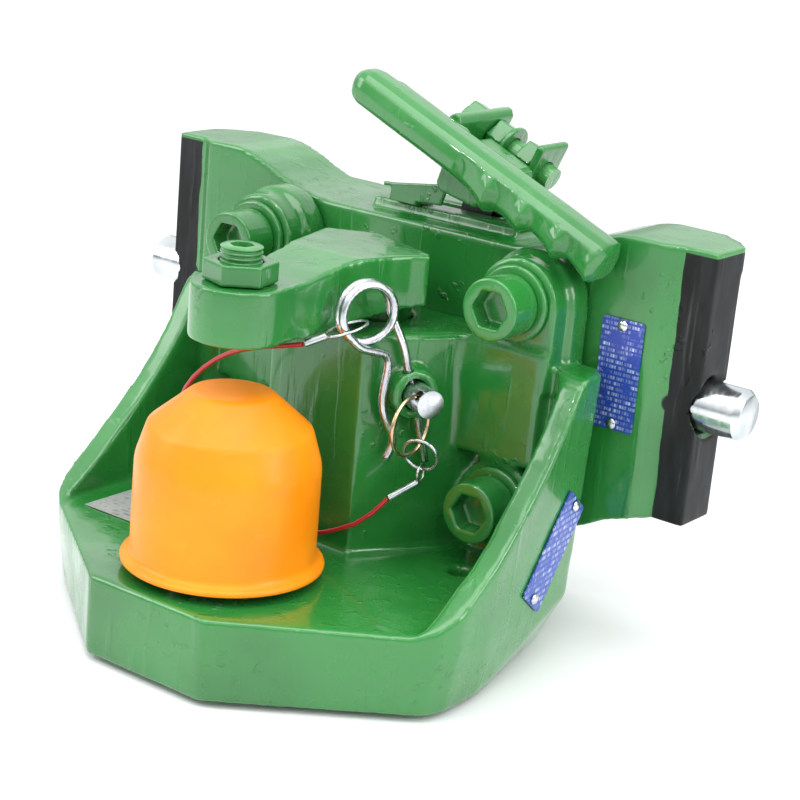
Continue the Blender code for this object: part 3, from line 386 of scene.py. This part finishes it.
FINISHES = {
    "green_paint": plain_paint(),
    "castings": casting_paint(),
    "zinc_plate": plated("zinc_plate", (0.66, 0.68, 0.71), (0.42, 0.44, 0.48)),
    "turned_zinc": turned_steel("turned_zinc", (0.68, 0.72, 0.73), (0.52, 0.56, 0.58)),
    "yellow_zinc": plated("yellow_zinc", (0.70, 0.53, 0.30), (0.44, 0.34, 0.26)),
    "machined_steel": plated("machined_steel", (0.56, 0.57, 0.58), (0.36, 0.37, 0.38)),
    "dark_steel": plated("oiled_steel", (0.10, 0.10, 0.11), (0.045, 0.045, 0.05), (0.30, 0.5)),
    "orange_plastic": moulded_cap(),
    "red_sheath": sheath(),
    "carriage_plate": printed_plate("blue_plate", (0.020, 0.055, 0.34), (0.55, 0.60, 0.74),
                                    (math.radians(90), 0, 0)),
    "bracket_plate": printed_plate("blue_side_plate", (0.030, 0.075, 0.38), (0.62, 0.67, 0.80),
                                   (math.radians(-53), 0, math.radians(90))),
    "silver_label": printed_plate("silver_label", (0.40, 0.41, 0.405), (0.10, 0.10, 0.105),
                                  (0, 0, 0), 3.4),
}


def wear(piece, finish):
    piece.data.materials.clear()
    piece.data.materials.append(FINISHES[finish])
    return piece


for node, obj in frame["nodes"].items():
    wear(obj, {"blue_plate": "carriage_plate"}.get(SLOT_OF[node], SLOT_OF[node]))
wear(tether, "red_sheath")


# ---- pieces made from the frame's own meshes -----------------------------------
def bake(piece):
    """Keep what a piece's modifiers make of it."""
    bpy.context.view_layer.update()
    made = bpy.data.meshes.new_from_object(
        piece.evaluated_get(bpy.context.evaluated_depsgraph_get()))
    piece.modifiers.clear()
    piece.data = made
    return piece


def copied(node, name):
    piece = bpy.data.objects.new(name, frame["nodes"][node].data.copy())
    scene.collection.objects.link(piece)
    weld = piece.modifiers.new("weld", "WELD")
    weld.merge_threshold = 0.00001
    return bake(piece)


def lumps(piece, size, strength):
    """Displace a piece by soft noise, as a sand casting under thick paint."""
    texture = bpy.data.textures.new("lumps", "CLOUDS")
    texture.noise_scale = size * MM
    texture.noise_depth = 1
    change = piece.modifiers.new("lumps", "DISPLACE")
    change.texture = texture
    change.texture_coords = "LOCAL"
    change.strength = strength * MM
    change.mid_level = 0.95        # inwards only, so nothing leaves the CAD box


def cast_piece(node, voxel, passes, finish="green_paint", rough=0.25):
    """A rounded casting: the node's shape melted at its edges and filled in its corners."""
    piece = copied(node, f"{node}_cast")
    remesh = piece.modifiers.new("remesh", "REMESH")
    remesh.mode = "VOXEL"
    remesh.voxel_size = voxel * MM
    ease = piece.modifiers.new("ease", "SMOOTH")
    ease.factor = 0.5
    ease.iterations = passes
    if rough:
        lumps(piece, 16, rough)
    bake(piece)
    piece.data.shade_smooth()
    return wear(stand_for(piece, node), finish)


def eased(node, width):
    """The node's shape with rounded edges."""
    piece = copied(node, f"{node}_eased")
    change = piece.modifiers.new("edges", "BEVEL")
    change.width = width * MM
    change.segments = 3
    change.limit_method = "ANGLE"
    change.angle_limit = math.radians(28)
    change.miter_outer = "MITER_ARC"
    bake(piece)
    piece.data.shade_smooth()
    piece.data.set_sharp_from_angle(angle=math.radians(50))
    return wear(stand_for(piece, node), SLOT_OF[node])


def rounded_wire(node, grow, levels=2):
    """A wire's faceted tube made round again."""
    piece = copied(node, f"{node}_round")
    change = piece.modifiers.new("round", "SUBSURF")
    change.levels = change.render_levels = levels
    bake(piece)
    fatter = piece.modifiers.new("grow", "DISPLACE")
    fatter.strength = grow * MM
    fatter.mid_level = 0.0
    bake(piece)
    piece.data.shade_smooth()
    return wear(stand_for(piece, node), SLOT_OF[node])


def lathe(name, profile, base, axis=(0, 0, 1), steps=96):
    """A profile of (radius, height) pairs spun about an axis through base."""
    bm = bmesh.new()
    rings = []
    for radius, height in profile:
        if radius < 0.001:
            rings.append([bm.verts.new((0, 0, height * MM))])
            continue
        rings.append([bm.verts.new((radius * MM * math.cos(2 * math.pi * k / steps),
                                    radius * MM * math.sin(2 * math.pi * k / steps),
                                    height * MM)) for k in range(steps)])
    for a, b in zip(rings, rings[1:]):
        for k in range(steps):
            j = (k + 1) % steps
            face = [a[k % len(a)], a[j % len(a)], b[j % len(b)], b[k % len(b)]]
            bm.faces.new(list(dict.fromkeys(face)))
    bmesh.ops.recalc_face_normals(bm, faces=bm.faces)
    mesh = bpy.data.meshes.new(name)
    turn = Vector(axis).to_track_quat("Z", "Y").to_matrix().to_4x4()
    bm.transform(Matrix.Translation(at(*base)) @ turn)
    bm.to_mesh(mesh)
    bm.free()
    piece = bpy.data.objects.new(name, mesh)
    scene.collection.objects.link(piece)
    mesh.shade_smooth()
    mesh.set_sharp_from_angle(angle=math.radians(40))
    return piece


def threaded(radius, depth, pitch, low, high):
    """Profile of a screw's flank, from high down to low."""
    turns = int((high - low) / pitch)
    flank = []
    for k in range(turns):
        top = high - k * pitch
        flank += [(radius, top - 0.15 * pitch), (radius, top - 0.35 * pitch),
                  (radius - depth, top - 0.65 * pitch), (radius - depth, top - 0.85 * pitch)]
    return flank


def hollow(piece, tool):
    """Cut tool out of the piece."""
    change = piece.modifiers.new("hollow", "BOOLEAN")
    change.operation = "DIFFERENCE"
    change.solver = "EXACT"
    change.object = tool
    bake(piece)
    bpy.data.objects.remove(tool, do_unlink=True)


def hexagon(name, across, centre, low, high):
    """An upright six-sided bar, across flats."""
    bm = bmesh.new()
    bmesh.ops.create_cone(bm, cap_ends=True, segments=6, depth=(high - low) * MM,
                          radius1=across / math.sqrt(3) * MM, radius2=across / math.sqrt(3) * MM)
    mesh = bpy.data.meshes.new(name)
    bm.to_mesh(mesh)
    bm.free()
    piece = bpy.data.objects.new(name, mesh)
    piece.location = at(centre[0], centre[1], (low + high) / 2)
    scene.collection.objects.link(piece)
    return piece


def plate_piece(node):
    """A thin plate with round corners."""
    piece = copied(node, f"{node}_rounded")
    bm = bmesh.new()
    bm.from_mesh(piece.data)
    thin = min(edge.calc_length() for edge in bm.edges)
    corners = [edge for edge in bm.edges if edge.calc_length() < 1.5 * thin]
    bmesh.ops.bevel(bm, geom=corners, offset=1.6 * MM, segments=4, profile=0.5, affect="EDGES")
    bm.to_mesh(piece.data)
    bm.free()
    return wear(stand_for(piece, node), node)


# ---- the pieces ----------------------------------------------------------------
# castings, and painted fasteners melted in the same way
cast_piece("ball_bracket", 1.4, 13, rough=0.4)
cast_piece("carriage_body", 1.6, 4, finish="castings", rough=0.15)
cast_piece("release_handle", 0.85, 4, rough=0.3)
cast_piece("hold_down_arm", 1.1, 9, rough=0.3)
for number in range(1, 5):
    cast_piece(f"bracket_screw_{number}", 0.75, 6, rough=0.15)
    cast_piece(f"bracket_washer_{number}", 0.75, 4, rough=0)
    eased(f"cover_screw_{number}", 0.5)
for number in range(1, 4):
    cast_piece(f"stud_nut_{number}", 0.55, 6, rough=0.1)
cast_piece("stud_washer", 0.6, 2, rough=0)
cast_piece("lock_nut", 0.55, 8, rough=0)
cast_piece("slot_guard", 0.5, 3, rough=0)
cast_piece("link_plate", 0.6, 3, rough=0)
eased("guard_screw", 0.5)
eased("rear_cover", 1.2)
eased("release_lever", 0.8)
eased("post_washer", 0.5)
eased("ball_nut", 1.2)
plate_piece("carriage_plate")
plate_piece("bracket_plate")
for node, grow in (("spring_clip", 0.12), ("pull_ring", 0.12), ("link_ring", 0.1)):
    rounded_wire(node, grow)
for node in ("upper_eye", "lower_eye"):
    cast_piece(node, 0.28, 2, finish="zinc_plate", rough=0)
for name in ("carriage_plate", "bracket_plate"):
    for number in (1, 2):
        rounded_wire(f"{name}_rivet_{number}", 0.05)

# adjusting screw with its thread and hexagon socket
screw = lathe("adjusting_screw_threaded",
              [(0, 195.3), (8.4, 195.3)] + threaded(9.7, 0.7, 2.2, 153.6, 195.0)
              + [(8.4, 153.7), (0, 153.7)], (0, BALL_Y, 0))
hollow(screw, hexagon("socket", 10, (0, BALL_Y), 187, 197))
wear(stand_for(screw, "adjusting_screw"), "green_paint")

# locking pins, and the springs that stand on seats at SPRING_SEAT_X
for side, label in ((1, "right"), (-1, "left")):
    pin = lathe(f"locking_pin_{label}_turned",
                [(0, 0.3), (3.4, 0.3), (4, 0.9), (4, 20), (7, 20), (7, 82), (11.6, 82),
                 (12.4, 82.8), (12.45, 151.9), (10.1, 154.7), (9.9, 154.85), (0, 154.9)],
                (side * 30, PIN_Y, PIN_Z), (side, 0, 0))
    wear(stand_for(pin, f"locking_pin_{label}"), "turned_zinc")
    spring = rounded_wire(f"return_spring_{label}", 0.1, levels=1)
    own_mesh(spring)

# securing pin
eased("securing_pin", 0.7)

# moulded cap
CAP_PROFILE = [(0, 127.1), (17.4, 127.1), (18.9, 126.9), (20.0, 126.2), (21.2, 125.2),
               (37.4, 111.4), (38.2, 110.4), (38.8, 108.9), (42.5, 97.0), (43.0, 94.8),
               (43.3, 92), (43.45, 80), (43.5, 51), (43.8, 49.2), (44.7, 48.0), (46.4, 47.4),
               (47.5, 46.8), (47.9, 45.8), (47.7, 44.8), (47.0, 44.3), (45.2, 44.4),
               (43.0, 44.4), (41.4, 44.6), (41.1, 50), (41.0, 93), (36.3, 109.8), (35.3, 111.6),
               (18.9, 124.5), (0, 124.6)]
cap = lathe("ball_cap_moulded", CAP_PROFILE, (0, BALL_Y, 0), steps=144)
wear(stand_for(cap, "ball_cap"), "orange_plastic")

# ball, turned smooth
ball_arc = [(BALL_R * math.cos(math.radians(a)), BALL_Z + BALL_R * math.sin(math.radians(a)))
            for a in range(90, -58, -3)]
ball = lathe("coupling_ball_turned",
             [(0, BALL_Z + BALL_R)] + ball_arc[1:]
             + [(24, 45), (27.8, 43.2), (27.8, 40.4), (19.9, 40.3),
                (19.9, 14), (17.4, 14), (17.4, 3.1), (0, 3.1)], (0, BALL_Y, 0))
wear(stand_for(ball, "coupling_ball"), "machined_steel")


# ---- stage ---------------------------------------------------------------------
FLOOR_Z = -0.003               # metres; just under the piece, for its contact shadow


def add_floor():
    bm = bmesh.new()
    bmesh.ops.create_grid(bm, x_segments=1, y_segments=1, size=30.0)
    mesh = bpy.data.meshes.new("floor")
    bm.to_mesh(mesh)
    bm.free()
    floor = bpy.data.objects.new("floor", mesh)
    floor.location = (0, 0, FLOOR_Z)
    scene.collection.objects.link(floor)
    white = Finish("white_floor", (0.825, 0.832, 0.838), 0.5)
    white.set("Specular IOR Level", 0.2)
    mesh.materials.append(white.material)


def add_lamp(name, place, aim, size, power, colour=(1, 1, 1)):
    light = bpy.data.lights.new(name, "AREA")
    light.shape = "RECTANGLE"
    light.size, light.size_y = size
    light.energy = power
    light.color = colour
    lamp = bpy.data.objects.new(name, light)
    lamp.location = place
    lamp.rotation_euler = (Vector(aim) - Vector(place)).to_track_quat("-Z", "Y").to_euler()
    scene.collection.objects.link(lamp)


def add_light():
    """A pale room, darker towards the horizon, with broad boxes and small bright ones."""
    world = bpy.data.worlds.new("studio")
    world.use_nodes = True
    nodes, links = world.node_tree.nodes, world.node_tree.links
    direction = nodes.new("ShaderNodeTexCoord").outputs["Generated"]
    split = nodes.new("ShaderNodeSeparateXYZ")
    links.new(direction, split.inputs[0])
    height = nodes.new("ShaderNodeMapRange")
    links.new(split.outputs["Z"], height.inputs["Value"])
    for name, value in (("From Min", 0.02), ("From Max", 0.38), ("To Min", 0.35),
                        ("To Max", 1.3)):
        height.inputs[name].default_value = value
    sky = nodes["Background"]
    sky.inputs["Color"].default_value = (0.985, 0.995, 1.0, 1)
    links.new(height.outputs["Result"], sky.inputs["Strength"])
    scene.world = world
    add_lamp("top_softbox", (0.1, -0.2, 1.1), (0, -0.02, 0.1), (0.9, 0.7), 6)
    add_lamp("left_softbox", (-0.9, -0.75, 0.75), (0, 0, 0.12), (0.5, 0.9), 6)
    add_lamp("right_softbox", (1.0, 0.1, 0.6), (0, 0, 0.12), (0.4, 0.8), 5)
    add_lamp("left_sparkle", (-0.25, -0.9, 1.0), (0, 0, 0.12), (0.05, 0.05), 1.6)
    add_lamp("right_sparkle", (0.75, -0.75, 0.9), (0, 0, 0.12), (0.05, 0.05), 1.6)


add_floor()
add_light()


def corners(box):
    return [[float(v) for v in corner] for corner in box]
